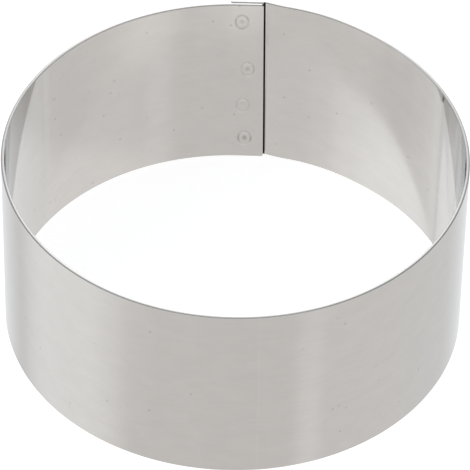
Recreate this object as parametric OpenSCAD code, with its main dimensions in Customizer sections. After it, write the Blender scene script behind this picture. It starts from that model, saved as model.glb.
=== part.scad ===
// Pastry ring: one strip of stainless steel rolled into a ring, its ends lapped and spot welded.
// It stands on z = 0 with its axis on Z. The lap seam is on the +Y side, and the end of the
// strip that shows inside the ring points towards +X.

/* [Ring] */
// Inside diameter of the ring, away from the seam
ring_id = 98.4; // [70:0.1:200]
// Height of the ring
ring_h = 45; // [30:0.5:80]

/* [Strip] */
// Thickness of the steel strip
strip_t = 0.8; // [0.6:0.05:1.2]
// Rounding that deburring leaves along the edges of the strip
edge_r = 0.12; // [0.05:0.01:0.2]
// Size of the snip that takes the point off the corners at both ends of the strip
snip = 0.3; // [0.2:0.1:1]
// How far the inner end is cut out of square, over the height of the ring
cut_slope = 0.6; // [0.1:0.1:1]

/* [Lap seam] */
// Length over which the two ends overlap
lap_len = 7.6; // [7.5:0.1:11]
// Length of the inner end that the rolls leave flat, measured at half height
flat_len = 5.4; // [5:0.1:6.5]
// Room between the two layers of the lap
lap_gap = 0.08; // [0.02:0.01:0.15]
// Room past the inner end before the outer layer bends inwards
toe_gap = 0.05; // [0.05:0.05:0.8]
// Radius of the tight bend where the step begins, at the middle of the sheet
toe_r = 1.2; // [1:0.1:3]
// Radius of the slack bend that leads from the step back into the wall
flank_r = 40; // [10:1:60]
// How far the wall has drifted outside the ring's circle where the step begins
drift = 0.58; // [0.2:0.02:0.64]
// How much larger the bend radius of the slack stretch is, ahead of the step
slack_more = 12; // [8:0.5:20]
// How much smaller the bend radius of the tight stretch is, next to the step
tight_less = 8; // [6:0.5:12]

/* [Spot welds] */
// Diameter of the mark that the electrode leaves
weld_d = 3.2; // [2.4:0.1:3.6]
// Distance of the row of welds from the cut of the inner end
weld_in = 4.3; // [4:0.1:5]
// Distance of the first and the last weld from the edges of the ring
weld_edge = 5.3; // [4:0.1:7]
// Number of welds
weld_count = 4; // [3:1:5]
// Width of the groove at the rim of each mark
groove_w = 0.5; // [0.3:0.05:0.6]
// Diameter of the dent in the middle of each mark
dent_d = 1; // [0.6:0.1:1.2]
// Depth of the marks on the inside of the ring
mark_in = 0.06; // [0.03:0.01:0.08]
// Depth of the marks on the outside of the ring
mark_out = 0.04; // [0.02:0.01:0.06]

/* [Hidden] */
$fn = 180;
// Rounding of the edges, within what the sheet can take
edge = min(edge_r, strip_t * 0.3);
// Radius of the ring at the middle of the sheet, and of the outer layer of the lap
mid_r = ring_id / 2 + strip_t / 2;
outer_r = mid_r + strip_t + lap_gap;
// Turn of the outer layer past the flat stretch, and the turn that puts the lap's middle on +Y
over_turn = (lap_len - flat_len) / outer_r * 180 / PI;
lap_turn = (2 * flat_len - lap_len) / 2 / outer_r * 180 / PI;

// The plan is drawn with the flat inner end along X and the ring's circle tangent to it at
// x = 0. Going clockwise past the inner end, the wall steps in through two opposite bends, a
// tight and a slack one, and two more stretches bring it back to the ring's circle.
// Centre of the bend next to the inner end
step_at = [flat_len + cut_slope / 2 + toe_gap, outer_r - toe_r];
// Radius of the circle that the step comes down to
drift_r = mid_r + drift;
// Slope of the wall where the two bends meet, and the centre of the second one
step_slope = thousandth(atan2(step_at.x, step_at.y) + 180
    - corner(norm(step_at), toe_r + flank_r, drift_r + flank_r));
back_at = step_at + (toe_r + flank_r) * facing(90 - step_slope);
// Where the step ends, clockwise from the flat's tangent point
step_turn = thousandth(atan2(back_at.x, back_at.y));
// Turns of the tight and the slack stretch, which meet where their centres line up
arms = slack_more + tight_less - drift;
tight_turn = thousandth(corner(tight_less, arms, slack_more));
slack_turn = thousandth(corner(slack_more, arms, tight_less));

// The strip from its inner end to its outer end, stretch by stretch. A bend has its radius at
// the middle of the sheet, negative where it bends outwards, and its turn in degrees. A flat
// stretch has 0 and its length. Both ends run on past their cuts.
stretches = [
    [0, flat_len + cut_slope],
    [mid_r, 360 - slack_turn - tight_turn - step_turn],
    [mid_r + slack_more, slack_turn],
    [drift_r - tight_less, tight_turn],
    [-flank_r, step_slope - step_turn],
    [toe_r, step_slope],
    [0, step_at.x],
    [outer_r, thousandth(2 * over_turn)]
];
last = len(stretches) - 1;

// Places of the welds: an even row, and what the hand at the welder puts each one off by
weld_pitch = (ring_h - 2 * weld_edge) / (weld_count - 1);
by_hand = [[0.35, 0.25], [-0.2, -1.3], [0.75, -2], [-0.7, 0.35]];

// Angle of a triangle between its sides a and b, with side c across from it
function corner(a, b, c) = acos((a * a + b * b - c * c) / (2 * a * b));

// Direction of the outside of the wall, as a point at distance 1
function facing(angle) = [cos(angle), sin(angle)];

// A length or an angle to the nearest thousandth, so that neighbours meet exactly
function thousandth(a) = round(1000 * a) / 1000;

// Angle that the outside faces where a stretch starts
function angle_at(n) = n == 0 ? 90
    : angle_at(n - 1) + sign(stretches[n - 1][0]) * stretches[n - 1][1];

// Centre of a bend, or the start of a flat stretch
function centre_of(n) = start_of(n) - stretches[n][0] * facing(angle_at(n));

// Middle of the sheet where a stretch starts
function start_of(n) = n == 0 ? [flat_len + cut_slope, mid_r]
    : centre_of(n - 1) + (stretches[n - 1][0] == 0 ? [-stretches[n - 1][1], 0]
        : stretches[n - 1][0] * facing(angle_at(n)));

// Radius of a round cutter that leaves a dent of this width and depth
function cutter_r(width, depth) = (width * width / 4 + depth * depth) / (2 * depth);

// Section of the strip on edge, with the middle of the sheet at x = 0
module section() {
    translate([-strip_t / 2, 0]) {
        translate([edge, 0]) square([strip_t - 2 * edge, ring_h]);
        translate([0, edge]) square([strip_t, ring_h - 2 * edge]);
        for (x = [edge, strip_t - edge], y = [edge, ring_h - edge])
            translate([x, y]) circle(edge, $fn = 24);
    }
}

// Moves to a point in thousandths and then by the rest, so that neighbours meet exactly
module move_to(p) {
    near = [thousandth(p.x), thousandth(p.y)];
    translate([near.x, near.y, 0]) translate([p.x - near.x, p.y - near.y, 0]) children();
}

// One stretch of the strip, bent or flat
module stretch(n) {
    r = stretches[n][0];
    turn = stretches[n][1];
    out = angle_at(n) % 360;
    move_to(centre_of(n))
        if (r == 0)
            translate([-turn, 0, 0]) rotate([90, 0, 90]) linear_extrude(turn) section();
        else
            rotate_extrude(angle = turn, start = r > 0 ? out : out + 180 - turn)
                translate([abs(r), 0]) section();
}

// What is kept of a strip end, with the cut at x = 0 half way up and its two corners snipped
module end_cut(reach, slope) {
    lean = slope / ring_h;
    low = slope / 2 - snip * lean;
    high = slope / 2 - (ring_h - snip) * lean;
    rotate([90, 0, 0]) linear_extrude(4 * strip_t, center = true)
        polygon([[-reach, -snip], [slope / 2 - snip, -snip], [slope / 2 - snip, 0], [low, snip],
            [high, ring_h - snip], [-slope / 2 - snip, ring_h],
            [-slope / 2 - snip, ring_h + snip], [-reach, ring_h + snip]]);
}

// The inner layer of the lap: the flat end of the strip
module inner_end() {
    intersection() {
        stretch(0);
        translate([flat_len, mid_r, 0]) end_cut(2 * flat_len, cut_slope);
    }
}

// The outer layer of the lap, past the flat stretch and round to its own cut
module outer_end() {
    intersection() {
        stretch(last);
        rotate([0, 0, over_turn]) translate([0, outer_r, 0])
            mirror([1, 0, 0]) end_cut(lap_len, 0);
    }
}

// The stretches between the two ends, up to the nth
module between(n) {
    if (n > 1) between(n - 1);
    stretch(n);
}

// The strip all the way round, from the cut of its inner end to the cut of its outer end
module strip() {
    union() {
        between(last - 1);
        outer_end();
    }
    inner_end();
}

// Puts a weld's children at each spot, their Z pointing into the ring from the wall's middle
module at_welds(r) {
    for (i = [0 : weld_count - 1]) {
        off = by_hand[i % len(by_hand)];
        translate([flat_len - weld_in + off.x, r, weld_edge + i * weld_pitch + off.y])
            rotate([90, 0, 0]) children();
    }
}

// The melted steel of a spot weld, which joins the two layers across the gap
module nugget() {
    cylinder(h = outer_r - mid_r, d = weld_d - 2 * groove_w, $fn = 48);
}

// The cutter for an electrode mark: a round groove at the rim and a dent in the middle
module mark(depth) {
    groove_r = cutter_r(groove_w, depth);
    dent_r = cutter_r(dent_d, depth);
    rotate_extrude($fn = 72)
        translate([weld_d / 2 - groove_w / 2, groove_r - depth]) circle(groove_r, $fn = 48);
    translate([0, 0, dent_r - depth]) sphere(dent_r, $fn = 72);
}

module ring() {
    color([0.74, 0.73, 0.71]) rotate([0, 0, lap_turn]) difference() {
        union() {
            strip();
            at_welds(outer_r) nugget();
        }
        at_welds(mid_r - strip_t / 2) mark(mark_in);
        at_welds(outer_r + strip_t / 2) mirror([0, 0, 1]) mark(mark_out);
    }
}

ring();
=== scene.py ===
# Pastry ring: a strip of satin stainless steel rolled into a ring, its ends lapped and spot welded.
# The ring stands on z = 0 with its axis on Z, and the lap is on the +Y side. Sizes are in mm.
import math

import bpy
from mathutils import Matrix, Vector


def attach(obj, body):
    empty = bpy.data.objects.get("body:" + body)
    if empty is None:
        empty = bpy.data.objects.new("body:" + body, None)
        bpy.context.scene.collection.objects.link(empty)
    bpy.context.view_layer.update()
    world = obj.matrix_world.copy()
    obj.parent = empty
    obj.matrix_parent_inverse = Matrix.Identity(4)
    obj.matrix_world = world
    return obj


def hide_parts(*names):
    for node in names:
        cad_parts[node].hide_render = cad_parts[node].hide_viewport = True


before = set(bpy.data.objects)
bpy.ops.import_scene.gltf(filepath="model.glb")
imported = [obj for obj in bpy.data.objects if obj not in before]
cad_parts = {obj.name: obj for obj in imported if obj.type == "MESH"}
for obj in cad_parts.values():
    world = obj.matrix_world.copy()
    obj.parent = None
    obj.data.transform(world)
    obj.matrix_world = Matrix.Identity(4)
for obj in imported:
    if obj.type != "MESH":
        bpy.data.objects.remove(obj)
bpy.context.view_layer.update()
print("stage: frame loaded")

mm = 0.001
tiny = 1e-7     # m; points that are closer than this are one


def linear(code):
    # "#rrggbb" in sRGB to a linear colour
    values = [int(code[i:i + 2], 16) / 255 for i in (1, 3, 5)]
    return tuple(v / 12.92 if v <= 0.04045 else ((v + 0.055) / 1.055) ** 2.4
                 for v in values) + (1.0,)


def addNode(tree, kind, settings=None, inputs=None, links=None):
    # settings go on the node and inputs on its sockets; links bring in outputs, or nodes by
    # their first output
    node = tree.nodes.new(kind)
    for name, value in (settings or {}).items():
        setattr(node, name, value)
    for name, value in (inputs or {}).items():
        node.inputs[name].default_value = value
    for name, source in (links or {}).items():
        output = source.outputs[0] if isinstance(source, bpy.types.Node) else source
        tree.links.new(output, node.inputs[name])
    return node


strip = {
    "insideDia": 98.4,
    "height": 45,
    "sheet": 0.8,
    "edgeRound": 0.12,      # left by deburring
    "edgeSteps": 4,
    "edgeBand": 0.3,        # keeps the tall wall's shading flat up to its edges
    "snip": 0.3,            # point taken off the corners of both ends
    "cutSlope": 0.6,        # how far the inner end is cut out of square
    "endReach": 0.8,        # the cuts act on faces this close to an end
    "lapLen": 7.6,
    "flatLen": 5.4,
    "lapGap": 0.08,
    "toeGap": 0.05,
    "toeRadius": 1.2,       # of the tight bend where the step begins
    "flankRadius": 40,      # of the slack bend back into the wall
    "drift": 0.58,          # how far outside the ring's circle the wall is at the step
    "slackMore": 12,        # what a slack stretch adds to the radius before the step
    "tightLess": 8,         # what a tight one takes off it, next to the step
    "turnStep": 1.0,        # degrees of bend to a face
    "toeStep": 1.43,        # and in the tight bend
    "fineStep": 0.15,       # width of a face near the welds
    "fineTurn": 2.4,        # degrees of the ring, next to the flat end, that have fine faces
    "creaseAngle": 40,      # edges sharper than this aren't smoothed
}

welds = {
    "markDia": 3.2,
    "fromCut": 4.3,
    "fromEdge": 5.3,
    "byHand": [(0.35, 0.25), (-0.2, -1.3), (0.75, -2), (-0.7, 0.35)],   # off an even row
    "grooveWidth": 0.5,
    "grooveReach": 0.31,    # half of that, with its soft edges
    "dentReach": 0.6,       # from the middle of the dent to where it ends
    "insideDepth": 0.04,
    "outsideDepth": 0.03,
    "tall": 1.38,           # the marks are ovals on end
    "patch": 1.8,           # half the width of the fine patch round each mark
    "patchCuts": 36,
    "skin": 0.1,            # a point this close to a face of the wall is on it
}

midRadius = strip["insideDia"] / 2 + strip["sheet"] / 2
outerRadius = midRadius + strip["sheet"] + strip["lapGap"]
overTurn = math.degrees((strip["lapLen"] - strip["flatLen"]) / outerRadius)
lapTurn = math.degrees((2 * strip["flatLen"] - strip["lapLen"]) / 2 / outerRadius)
weldPitch = (strip["height"] - 2 * welds["fromEdge"]) / (len(welds["byHand"]) - 1)
weldSpots = [(strip["flatLen"] - welds["fromCut"] + x, welds["fromEdge"] + i * weldPitch + z)
             for i, (x, z) in enumerate(welds["byHand"])]
markRim = (welds["markDia"] - welds["grooveWidth"]) / 2


def corner(a, b, c):
    # angle of a triangle between its sides a and b, in degrees
    return math.degrees(math.acos((a * a + b * b - c * c) / (2 * a * b)))


def facing(angle):
    return Vector((math.cos(math.radians(angle)), math.sin(math.radians(angle))))


def stretchList():
    # (radius, turn in degrees) for a bend, (0, length) for a flat, from the inner end on
    toe, flank = strip["toeRadius"], strip["flankRadius"]
    stepAt = Vector((strip["flatLen"] + strip["cutSlope"] / 2 + strip["toeGap"],
                     outerRadius - toe))
    driftRadius = midRadius + strip["drift"]
    stepSlope = (math.degrees(math.atan2(stepAt.x, stepAt.y)) + 180
                 - corner(stepAt.length, toe + flank, driftRadius + flank))
    backAt = stepAt + (toe + flank) * facing(90 - stepSlope)
    stepTurn = math.degrees(math.atan2(backAt.x, backAt.y))
    arms = strip["slackMore"] + strip["tightLess"] - strip["drift"]
    tightTurn = corner(strip["tightLess"], arms, strip["slackMore"])
    slackTurn = corner(strip["slackMore"], arms, strip["tightLess"])
    return [
        (0, strip["flatLen"] + strip["cutSlope"]),
        (midRadius, strip["fineTurn"]),
        (midRadius, 360 - slackTurn - tightTurn - stepTurn - strip["fineTurn"]),
        (midRadius + strip["slackMore"], slackTurn),
        (driftRadius - strip["tightLess"], tightTurn),
        (-flank, stepSlope - stepTurn),
        (toe, stepSlope),
        (0, stepAt.x),
        (outerRadius, 2 * overTurn),
    ]


def edit(mode):
    bpy.ops.object.mode_set(mode="EDIT")
    bpy.ops.mesh.select_mode(type=mode)


def pick(piece, test, mode="FACE"):
    # selects the faces or edges that pass, and goes to edit mode
    edit(mode)
    bpy.ops.mesh.select_all(action="DESELECT")
    bpy.ops.object.mode_set(mode="OBJECT")
    mesh = piece.data
    for item in (mesh.polygons if mode == "FACE" else mesh.edges):
        if test(item):
            item.select = True
    edit(mode)


def cut(point, normal, fill=False):
    # cuts what is selected, and drops what lies on the normal's side if the cut is filled
    bpy.ops.mesh.bisect(plane_co=[v * mm for v in point], plane_no=normal,
                        use_fill=fill, clear_outer=fill, threshold=tiny)


def layStrip():
    # the section of the strip stands where the inner end starts, and is drawn along the plan
    bpy.ops.object.select_all(action="DESELECT")
    bpy.ops.mesh.primitive_plane_add(size=1)
    piece = bpy.context.object
    piece.name = "steelStrip"
    edit("VERT")
    bpy.ops.mesh.select_all(action="SELECT")
    bpy.ops.transform.resize(value=(strip["height"] * mm, strip["sheet"] * mm, 1))
    bpy.ops.transform.rotate(value=math.pi / 2, orient_axis="Y", center_override=(0, 0, 0))
    bpy.ops.mesh.bevel(affect="VERTICES", offset=strip["edgeRound"] * mm,
                       segments=strip["edgeSteps"])
    bpy.ops.mesh.select_all(action="SELECT")
    bpy.ops.mesh.delete(type="ONLY_FACE")
    bpy.ops.mesh.select_all(action="SELECT")
    runs = stretchList()
    at = Vector((runs[0][1], midRadius))
    bpy.ops.transform.translate(value=(at.x * mm, at.y * mm, strip["height"] / 2 * mm))
    angle = 90
    for number, (radius, size) in enumerate(runs):
        if radius == 0:
            steps = round(size / strip["fineStep"])
            move = facing(angle + 90) * size
            for _ in range(steps):
                bpy.ops.mesh.extrude_edges_move(TRANSFORM_OT_translate={
                    "value": (move.x / steps * mm, move.y / steps * mm, 0)})
            at += move
            continue
        turn = math.copysign(size, radius)
        centre = at - facing(angle) * radius
        if number in (1, len(runs) - 1):    # beside the welds
            steps = round(math.radians(size) * radius / strip["fineStep"])
        else:
            step = strip["toeStep"] if radius == strip["toeRadius"] else strip["turnStep"]
            steps = math.ceil(size / step)
        bpy.ops.mesh.spin(steps=steps, angle=-math.radians(turn),
                          center=(centre.x * mm, centre.y * mm, 0), axis=(0, 0, 1))
        angle += turn
        at = centre + facing(angle) * radius
    bpy.ops.object.mode_set(mode="OBJECT")
    print("strip ends at", [round(v, 4) for v in at], "facing", round(angle, 3))
    return piece


def cutEnds(piece):
    # the inner end is cut a little out of square, the outer one square, and both are snipped
    snip, height, reach = strip["snip"], strip["height"], strip["endReach"]
    flat, half = strip["flatLen"], strip["cutSlope"] / 2
    layer = strip["sheet"] / 2 + strip["lapGap"] / 4     # leaves out the step beside it

    def innerEnd(face):
        x, y = (face.center / mm).xy
        return flat - reach < x < flat + 2 * half and abs(y - midRadius) < layer

    pick(piece, innerEnd)
    cut((flat, midRadius, height / 2),
        Vector((1, 0, strip["cutSlope"] / height)).normalized(), fill=True)
    for edgeAt, level, rise in ((flat + half, 0, -1), (flat - half, height, 1)):
        pick(piece, innerEnd)
        cut((edgeAt - snip, midRadius, level), Vector((1, 0, rise)).normalized(), fill=True)

    ahead = facing(90 + overTurn + 90).to_3d()
    end = facing(90 + overTurn).to_3d() * outerRadius

    def outerEnd(face):
        spot = face.center / mm
        return ((spot - end).dot(ahead) > -reach and spot.x < 0
                and abs(spot.xy.length - outerRadius) < layer)

    pick(piece, outerEnd)
    cut(end, ahead, fill=True)
    for level, rise in ((0, -1), (height, 1)):
        pick(piece, outerEnd)
        cut(end - ahead * snip + Vector((0, 0, level)),
            (ahead + Vector((0, 0, rise))).normalized(), fill=True)


def closeStrip(piece):
    # a cut near each edge of the strip, one skin, and faces that point outwards
    for level in (strip["edgeBand"], strip["height"] - strip["edgeBand"]):
        pick(piece, lambda face: True)
        cut((0, 0, level), (0, 0, 1))
    bpy.ops.mesh.select_all(action="SELECT")
    bpy.ops.mesh.remove_doubles(threshold=tiny)
    bpy.ops.mesh.normals_make_consistent(inside=False)
    bpy.ops.object.mode_set(mode="OBJECT")


def markDepth(distance, depth):
    # a groove at the rim of the electrode mark and a dent in its middle, both with soft edges
    groove = abs(distance - markRim) / welds["grooveReach"]
    dent = distance / welds["dentReach"]
    return depth * sum(math.cos(math.pi / 2 * v) ** 2 for v in (groove, dent) if v < 1)


def pressWelds(piece, level, out, depth):
    # level is the wall's face, out its outward direction, both in the plan of the flat lap
    reach, tall, skin = welds["patch"], welds["patch"] * welds["tall"], welds["skin"]
    for x, z in weldSpots:
        def inPatch(face):
            spot = face.center / mm
            return (abs(spot.x - x) < reach and abs(spot.y - level) < skin
                    and face.normal.y * out > 0.9)

        for height in (z - tall, z + tall):
            pick(piece, inPatch)
            cut((0, 0, height), (0, 0, 1))
        bpy.ops.object.mode_set(mode="OBJECT")
        verts = piece.data.vertices
        upright = {key for face in piece.data.polygons
                   if inPatch(face) and abs(face.center.z / mm - z) < tall
                   for key in face.edge_keys
                   if abs(verts[key[0]].co.z - verts[key[1]].co.z) > tall * mm}
        pick(piece, lambda edge: tuple(sorted(edge.vertices)) in upright, "EDGE")
        bpy.ops.mesh.subdivide(number_cuts=welds["patchCuts"])
        bpy.ops.object.mode_set(mode="OBJECT")
        for vert in piece.data.vertices:
            spot = vert.co / mm
            if abs(spot.y - level) < skin:
                dip = markDepth(math.hypot(spot.x - x, (spot.z - z) / welds["tall"]), depth)
                vert.co.y -= out * dip * mm


steelStrip = layStrip()
cutEnds(steelStrip)
closeStrip(steelStrip)
print("stage: strip laid,", len(steelStrip.data.polygons), "faces")
pressWelds(steelStrip, midRadius - strip["sheet"] / 2, -1, welds["insideDepth"])
pressWelds(steelStrip, outerRadius + strip["sheet"] / 2, 1, welds["outsideDepth"])
steelStrip.data.transform(Matrix.Rotation(math.radians(lapTurn), 4, "Z"))
bpy.ops.object.select_all(action="DESELECT")
steelStrip.select_set(True)
bpy.context.view_layer.objects.active = steelStrip
bpy.ops.object.shade_smooth_by_angle(angle=math.radians(strip["creaseAngle"]))
print("stage: welds pressed,", len(steelStrip.data.polygons), "faces")

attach(steelStrip, "root")
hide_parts("ring")


steel = {
    "colour": "#cfcbc7",
    "creviceShadeColour": "#423f3c",       # painted shade: a dark colour laid in the crevice beside the cut, where the gap lies in shadow
    "tintColour": "#8f8781",        # what the heat and the electrode leave at a weld
    "grazingColour": "#fbfdff",
    "roughness": 0.15,              # looked at straight on
    "grazingRoughness": 0.06,       # at a low angle the fine pits no longer scatter
    "grazingRange": (0.3, 0.6),     # of Layer Weight's Facing, over which that changes
    # length and height in mm, detail and depth of the blotches that rolling leaves, and of its
    # fine lines, which are really 0.05 mm high, too fine to show
    "clouds": (6.0, 4.2, 4.0, 0.02),
    "grain": (9.0, 0.35, 2.0, 0.012),
    "noiseRange": (0.25, 0.75),     # what the noise gives, nearly everywhere
    "noiseRoughness": 0.6,
    # a faint pale line up the front wall: from, to and softness in mm, and what it adds
    "streak": (6.15, 6.35, 0.15),
    "streakLift": 0.035,
    "speckSpacing": 4.5,            # mm between places where a speck may be
    "speckRange": (0.03, 0.09),     # its dark middle and its edge, as shares of that
    "speckTint": 0.3,
    # weld by weld from the lowest: strength of the ring, strength of the dot
    "weldTint": [(1.1, 1.2), (0.45, 0.0), (0.7, 0.8), (0.95, 0.4)],
    "weldTintAll": 0.45,
    "lapSoftness": 0.2,             # mm, at the sides of the mask that holds the tints to the lap
    "ringTint": (-0.1, 0.25, 0.2),  # from, to and softness in mm, about the middle of the groove
    "dotTint": (0.15, 0.8),         # mm from the middle of the mark, where it fades and ends
    "patchScale": 0.45,             # patches to a mm, in which the tint is weak and strong
    "patchRange": (0.35, 0.65, 0.3, 1.3),
    "paintedCreviceShade": (0.02, 0.44, 0.015),     # painted shade in the crevice, past the cut: from, to and softness in mm
    "creviceDepth": 0.03,               # mm behind the inside of the lap, where it starts
    "creviceSoftness": 0.01,
    # a darker patch beside the crevice: past the cut and up the wall, as above
    "darkPatchPast": (0.5, 1.2, 0.4),
    "darkPatchUp": (33, 42, 1.5),
    "darkPatchTint": 0.14,
}


def band(tree, value, low, high, soft, mask=None):
    # 1, or the mask where one is given, between low and high, and 0 outside, with soft edges
    rise = addNode(tree, "ShaderNodeMapRange", {"interpolation_type": "SMOOTHSTEP"},
                   {"From Min": low - soft, "From Max": low + soft},
                   {"Value": value, **({"To Max": mask} if mask else {})})
    return addNode(tree, "ShaderNodeMapRange", {"interpolation_type": "SMOOTHSTEP"},
                   {"From Min": high - soft, "From Max": high + soft, "To Max": 0.0},
                   {"Value": value, "To Min": rise})


def makeSteel():
    # satin stainless steel, cold rolled: soft reflections that sharpen at a low angle
    material = bpy.data.materials.new("satinStainlessSteel")
    material.use_nodes = True
    tree = material.node_tree
    tree.nodes.clear()
    # the plan of the flat lap, in mm: x along the flat, y outwards, z up
    plan = addNode(tree, "ShaderNodeMapping", inputs={
        "Rotation": (0, 0, -math.radians(lapTurn)), "Scale": (1 / mm, 1 / mm, 1 / mm)},
        links={"Vector": addNode(tree, "ShaderNodeTexCoord").outputs["Object"]})
    x, y, z = addNode(tree, "ShaderNodeSeparateXYZ", links={0: plan}).outputs
    lapSide = band(tree, y, midRadius - strip["sheet"], outerRadius + strip["sheet"],
                   steel["lapSoftness"])

    # blotches and lines lie on the unrolled strip, which starts at its inner end
    cutAngle = math.atan2(midRadius, strip["flatLen"])
    turned = addNode(tree, "ShaderNodeMapping", inputs={"Rotation": (0, 0, math.pi - cutAngle)},
                     links={"Vector": plan})
    sides = addNode(tree, "ShaderNodeSeparateXYZ", links={0: turned}).outputs
    bearing = addNode(tree, "ShaderNodeMath", {"operation": "ARCTAN2"},
                      links={0: sides["Y"], 1: sides["X"]})
    along = addNode(tree, "ShaderNodeMath", {"operation": "MULTIPLY"}, {1: midRadius},
                    {0: bearing})
    sheet = addNode(tree, "ShaderNodeCombineXYZ", links={0: along, 1: z})
    shades = []
    for length, height, detail, depth in (steel["clouds"], steel["grain"]):
        scaled = addNode(tree, "ShaderNodeMapping", inputs={
            "Scale": (1 / length, 1 / height, 1)}, links={"Vector": sheet})
        noise = addNode(tree, "ShaderNodeTexNoise", {"noise_dimensions": "2D"},
                        {"Scale": 1.0, "Detail": detail,
                         "Roughness": steel["noiseRoughness"]}, {"Vector": scaled})
        low, high = steel["noiseRange"]
        shades.append(addNode(tree, "ShaderNodeMapRange", inputs={
            "From Min": low, "From Max": high, "To Min": 1 - depth, "To Max": 1 + depth},
            links={"Value": noise}))
    shade = addNode(tree, "ShaderNodeMath", {"operation": "MULTIPLY"},
                    links={0: shades[0], 1: shades[1]})
    front = addNode(tree, "ShaderNodeMath", {"operation": "LESS_THAN"}, {1: 0.0}, {0: y})
    streak = band(tree, x, *steel["streak"], front)
    shade = addNode(tree, "ShaderNodeMath", {"operation": "MULTIPLY_ADD"},
                    {1: steel["streakLift"]}, {0: streak, 2: shade})
    colour = addNode(tree, "ShaderNodeVectorMath", {"operation": "SCALE"},
                     {0: linear(steel["colour"])[:3]}, {"Scale": shade})
    layers = []     # what lies on the bare steel, from the lowest: where, and its colour

    # a few dark specks
    cells = addNode(tree, "ShaderNodeMapping", inputs={
        "Scale": [1 / steel["speckSpacing"]] * 3}, links={"Vector": plan})
    dots = addNode(tree, "ShaderNodeTexVoronoi", inputs={"Scale": 1.0}, links={"Vector": cells})
    low, high = steel["speckRange"]
    specks = addNode(tree, "ShaderNodeMapRange", {"interpolation_type": "SMOOTHSTEP"},
                     {"From Min": low, "From Max": high,
                      "To Min": steel["speckTint"], "To Max": 0.0},
                     {"Value": dots.outputs["Distance"]})
    layers.append((specks, steel["tintColour"]))

    # marks of the welds: the rim of the electrode and a dot in the middle
    squat = addNode(tree, "ShaderNodeMath", {"operation": "DIVIDE"}, {1: welds["tall"]}, {0: z})
    flat = addNode(tree, "ShaderNodeCombineXYZ", links={0: x, 2: squat})
    uneven = addNode(tree, "ShaderNodeTexNoise", inputs={
        "Scale": steel["patchScale"], "Detail": 1.0}, links={"Vector": plan})
    low, high, weak, strong = steel["patchRange"]
    patchy = addNode(tree, "ShaderNodeMapRange", inputs={
        "From Min": low, "From Max": high, "To Min": weak, "To Max": strong},
        links={"Value": uneven})
    lapTint = addNode(tree, "ShaderNodeMath", {"operation": "MULTIPLY"},
                      {1: steel["weldTintAll"]}, {0: lapSide})
    low, high, soft = steel["ringTint"]
    for (across, up), (ring, dot) in zip(weldSpots, steel["weldTint"]):
        away = addNode(tree, "ShaderNodeVectorMath", {"operation": "DISTANCE"},
                       {1: (across, 0, up / welds["tall"])}, {0: flat}).outputs["Value"]
        edge = band(tree, away, markRim + low, markRim + high, soft, patchy)
        middle = addNode(tree, "ShaderNodeMapRange", {"interpolation_type": "SMOOTHSTEP"},
                         {"From Min": steel["dotTint"][0], "From Max": steel["dotTint"][1],
                          "To Min": dot, "To Max": 0.0}, {"Value": away})
        mark = addNode(tree, "ShaderNodeMath", {"operation": "MULTIPLY_ADD"}, {1: ring},
                       {0: edge, 2: middle})
        mark = addNode(tree, "ShaderNodeMath", {"operation": "MULTIPLY"},
                       links={0: mark, 1: lapTint})
        layers.append((mark, steel["tintColour"]))

    # painted shade in the crevice beside the cut of the inner end, and a darker patch past it
    lean = addNode(tree, "ShaderNodeMath", {"operation": "MULTIPLY_ADD"},
                   {1: strip["cutSlope"] / strip["height"]}, {0: z, 2: x})
    pastCut = addNode(tree, "ShaderNodeMath", {"operation": "SUBTRACT"},
                      {1: strip["flatLen"] + strip["cutSlope"] / 2}, {0: lean})
    # a darker, patchy stretch past the cut, high on the wall, in the tint colour
    darkPatch = addNode(tree, "ShaderNodeMath", {"operation": "MULTIPLY"},
                    {1: steel["darkPatchTint"]}, {0: band(tree, z, *steel["darkPatchUp"], lapSide)})
    darkPatch = addNode(tree, "ShaderNodeMath", {"operation": "MULTIPLY"},
                    links={0: darkPatch, 1: patchy})
    layers.append((band(tree, pastCut, *steel["darkPatchPast"], darkPatch), steel["tintColour"]))
    # painted shade: a dark, fully rough colour on the faces deep in the crevice beside the cut,
    # where the gap is in shadow
    face = midRadius - strip["sheet"] / 2
    deep = band(tree, y, face + steel["creviceDepth"], outerRadius, steel["creviceSoftness"])
    paintedCreviceShade = band(tree, pastCut, *steel["paintedCreviceShade"], deep)
    layers.append((paintedCreviceShade, steel["creviceShadeColour"]))
    for where, code in layers:
        colour = addNode(tree, "ShaderNodeMix", {"data_type": "RGBA"}, {7: linear(code)},
                         {0: where, 6: colour}).outputs[2]

    low, high = steel["grazingRange"]
    rough = addNode(tree, "ShaderNodeMapRange", {"interpolation_type": "SMOOTHSTEP"},
                    {"From Min": low, "From Max": high, "To Min": steel["roughness"],
                     "To Max": steel["grazingRoughness"]},
                    {"Value": addNode(tree, "ShaderNodeLayerWeight").outputs["Facing"]})
    rough = addNode(tree, "ShaderNodeMath", {"operation": "MAXIMUM"},
                    links={0: rough, 1: paintedCreviceShade})
    shader = addNode(tree, "ShaderNodeBsdfPrincipled", inputs={
        "Metallic": 1.0, "Specular Tint": linear(steel["grazingColour"])},
        links={"Base Color": colour, "Roughness": rough})
    addNode(tree, "ShaderNodeOutputMaterial", links={"Surface": shader})
    return material


steelStrip.data.materials.clear()
steelStrip.data.materials.append(makeSteel())
print("stage: steel laid on")


camera = {
    "lens": 322.1,
    "sensor": 36,
    "distance": 910.6,
    "elevation": 43.31,
    "roll": 1.13,
    "seamTurn": 2.37,       # degrees to the right of straight across the lap
    "aim": (0.226, -1.152),     # mm off the ring's axis, to the right and away from the camera
}


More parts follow.
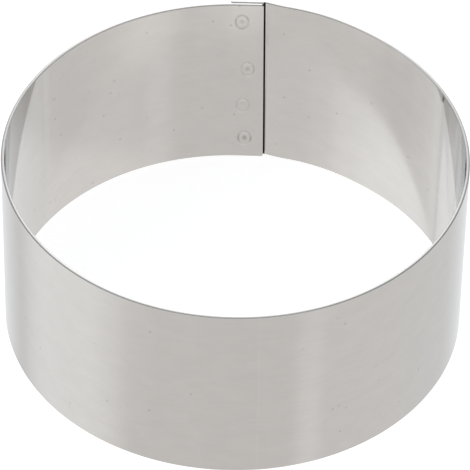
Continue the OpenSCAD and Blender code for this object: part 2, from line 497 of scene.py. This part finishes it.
def makeCamera():
    rise = math.radians(camera["elevation"])
    back = Vector((0, -math.cos(rise), math.sin(rise)))
    right = Vector((1, 0, 0))
    axes = Matrix((right, back.cross(right), back)).transposed()
    roll = Matrix.Rotation(math.radians(camera["roll"]), 3, "Z")
    place = back * camera["distance"] + Vector((*camera["aim"], strip["height"] / 2))
    data = bpy.data.cameras.new("camera")
    data.lens = camera["lens"]
    data.sensor_width = camera["sensor"]
    data.clip_end = 100
    eye = bpy.data.objects.new("camera", data)
    eye.matrix_world = (Matrix.Rotation(math.radians(camera["seamTurn"]), 4, "Z")
                        @ Matrix.Translation(place * mm) @ (axes @ roll).to_4x4())
    bpy.context.scene.collection.objects.link(eye)
    bpy.context.scene.camera = eye


stage = {
    "floorSize": 8.0,           # m
    "floorColour": "#e8e8e8",
    "floorWhite": 0.8,          # what the camera sees on top of the lit floor
    "floorGlow": 1.14,          # what the metal sees
    "footReach": (22, 45.6),    # mm from the middle; the side walls light up what lies between
    "leftFoot": (-10, -26, 0.17),   # mm to the right, where that starts and is full, and its level
    "rightFoot": (5, 25, 0.08),
    "floorGloss": 0.3,          # the table top is glossy, and mirrors the glows to the metal
    "floorGlossRoughness": 0.08,
    "skyColour": "#f4faff",
    "dimSide": 0.01,            # levels of the sky: behind the camera,
    "zenith": 0.39,             # overhead
    "horizon": 0.95,            # and low down all round
    "zenithRise": (0.8, 0.95),      # heights, as sines, over which one turns into the next
    "horizonRise": (0.5, 0.63),
    # azimuth clockwise from the lap as the camera sees it, half width of the even middle, half
    # width in all, two heights in degrees and the levels there, colour
    "glows": [
        (-88, 8, 43, (42.5, 44), (1.13, 0.9), "#f4faff"),
        (-128, 4, 16, (44.3, 45.2), (0.2, 0.0), "#f4faff"),
        (-142, 6, 30, (43, 44.2), (0.2, 0.0), "#f4faff"),
        (0, 15, 52, (38, 41.5), (0.95, 0.36), "#f4faff"),
        (0, 3, 9, (41.5, 45), (1.0, 0.4), "#fafdff"),
        (95, 20, 60, (41, 46), (0.18, 0.18), "#f4faff"),
        (140, 0, 9, (41.2, 42.4), (0.33, 0.0), "#f4faff"),
        (140, 0, 9, (43.8, 44.6), (0.0, 0.42), "#f4faff"),
    ],
}


def makeFloor():
    # a white table top: the camera sees it matt and nearly white, with the ring's shadow, and
    # the metal sees it bright and glossy
    bpy.ops.object.select_all(action="DESELECT")
    bpy.ops.mesh.primitive_plane_add(size=stage["floorSize"])
    floor = bpy.context.object
    floor.name = "studioFloor"
    material = bpy.data.materials.new("whiteGlossyTable")
    material.use_nodes = True
    tree = material.node_tree
    tree.nodes.clear()
    matt = addNode(tree, "ShaderNodeBsdfDiffuse", inputs={"Color": linear(stage["floorColour"])})
    white = addNode(tree, "ShaderNodeEmission", inputs={"Strength": stage["floorWhite"]})
    seen = addNode(tree, "ShaderNodeAddShader", links={0: matt, 1: white})

    # inside the ring it is brighter at the feet of the side walls
    plan = addNode(tree, "ShaderNodeMapping", inputs={
        "Rotation": (0, 0, -math.radians(camera["seamTurn"])), "Scale": (1 / mm, 1 / mm, 0)},
        links={"Vector": addNode(tree, "ShaderNodeTexCoord").outputs["Object"]})
    away = addNode(tree, "ShaderNodeVectorMath", {"operation": "LENGTH"},
                   links={0: plan}).outputs["Value"]
    inside = addNode(tree, "ShaderNodeMath", {"operation": "LESS_THAN"}, {1: midRadius},
                     {0: away})
    near = addNode(tree, "ShaderNodeMapRange", {"interpolation_type": "SMOOTHSTEP"},
                   {"From Min": stage["footReach"][0], "From Max": stage["footReach"][1]},
                   {"Value": away, "To Max": inside})
    across = addNode(tree, "ShaderNodeSeparateXYZ", links={0: plan}).outputs["X"]
    left, right = [
        addNode(tree, "ShaderNodeMapRange", {"interpolation_type": "SMOOTHSTEP"},
                {"From Min": start, "From Max": full, "To Max": level}, {"Value": across})
        for start, full, level in (stage["leftFoot"], stage["rightFoot"])]
    feet = addNode(tree, "ShaderNodeMath", {"operation": "ADD"}, links={0: left, 1: right})
    bright = addNode(tree, "ShaderNodeMath", {"operation": "MULTIPLY_ADD"},
                     {2: stage["floorGlow"]}, {0: near, 1: feet})
    glow = addNode(tree, "ShaderNodeEmission", links={"Strength": bright})
    gloss = addNode(tree, "ShaderNodeBsdfGlossy", inputs={
        "Color": (1, 1, 1, 1), "Roughness": stage["floorGlossRoughness"]})
    table = addNode(tree, "ShaderNodeMixShader", inputs={0: stage["floorGloss"]},
                    links={1: glow, 2: gloss})
    path = addNode(tree, "ShaderNodeLightPath").outputs["Is Camera Ray"]
    whole = addNode(tree, "ShaderNodeMixShader", links={0: path, 1: table, 2: seen})
    addNode(tree, "ShaderNodeOutputMaterial", links={"Surface": whole})
    floor.data.materials.append(material)


def makeWorld():
    # a plain studio: its walls glow softly at the back and on the left, and the camera's side
    # is dark
    world = bpy.data.worlds.new("paleStudio")
    world.use_nodes = True
    tree = world.node_tree
    tree.nodes.clear()
    way = addNode(tree, "ShaderNodeTexCoord").outputs["Generated"]
    rise = addNode(tree, "ShaderNodeSeparateXYZ", links={0: way}).outputs["Z"]
    level = addNode(tree, "ShaderNodeVectorMath", {"operation": "MULTIPLY"}, {1: (1, 1, 0)},
                    {0: way})
    around = addNode(tree, "ShaderNodeVectorMath", {"operation": "NORMALIZE"}, links={0: level})
    sky = Vector(linear(stage["skyColour"])[:3])
    total = addNode(tree, "ShaderNodeCombineXYZ", inputs=dict(enumerate(sky * stage["dimSide"])))
    for azimuth, middle, reach, heights, levels, colour in stage["glows"]:
        bearing = math.radians(90 - azimuth + camera["seamTurn"])
        near = addNode(tree, "ShaderNodeVectorMath", {"operation": "DOT_PRODUCT"},
                       {1: (math.cos(bearing), math.sin(bearing), 0)}, {0: around})
        strength = addNode(tree, "ShaderNodeMapRange", inputs={
            "From Min": math.sin(math.radians(heights[0])),
            "From Max": math.sin(math.radians(heights[1])),
            "To Min": levels[0], "To Max": levels[1]}, links={"Value": rise})
        lit = addNode(tree, "ShaderNodeMapRange", {"interpolation_type": "SMOOTHSTEP"},
                      {"From Min": math.cos(math.radians(reach)),
                       "From Max": math.cos(math.radians(middle))},
                      {"Value": near.outputs["Value"], "To Max": strength})
        total = addNode(tree, "ShaderNodeVectorMath", {"operation": "MULTIPLY_ADD"},
                        {1: linear(colour)[:3]}, {0: lit, 2: total})
    low, high = stage["zenithRise"]
    top = addNode(tree, "ShaderNodeMapRange", {"interpolation_type": "SMOOTHSTEP"},
                  {"From Min": low, "From Max": high}, {"Value": rise})
    upper = addNode(tree, "ShaderNodeMix", {"data_type": "VECTOR"}, {5: sky * stage["zenith"]},
                    {0: top, 4: total}).outputs[1]
    low, high = stage["horizonRise"]
    bottom = addNode(tree, "ShaderNodeMapRange", {"interpolation_type": "SMOOTHSTEP"},
                     {"From Min": low, "From Max": high, "To Min": stage["horizon"],
                      "To Max": 0.0}, {"Value": rise})
    lower = addNode(tree, "ShaderNodeVectorMath", {"operation": "SCALE"}, {0: sky},
                    {"Scale": bottom})
    whole = addNode(tree, "ShaderNodeVectorMath", {"operation": "MAXIMUM"},
                    links={0: upper, 1: lower})
    soft = addNode(tree, "ShaderNodeBackground", links={"Color": whole})
    white = addNode(tree, "ShaderNodeBackground", inputs={"Color": (1, 1, 1, 1)})
    path = addNode(tree, "ShaderNodeLightPath").outputs["Is Camera Ray"]
    mix = addNode(tree, "ShaderNodeMixShader", links={0: path, 1: soft, 2: white})
    addNode(tree, "ShaderNodeOutputWorld", links={"Surface": mix})
    bpy.context.scene.world = world


makeCamera()
makeFloor()
makeWorld()
bpy.context.scene.view_settings.view_transform = "Standard"
print("stage: camera, floor and light set")
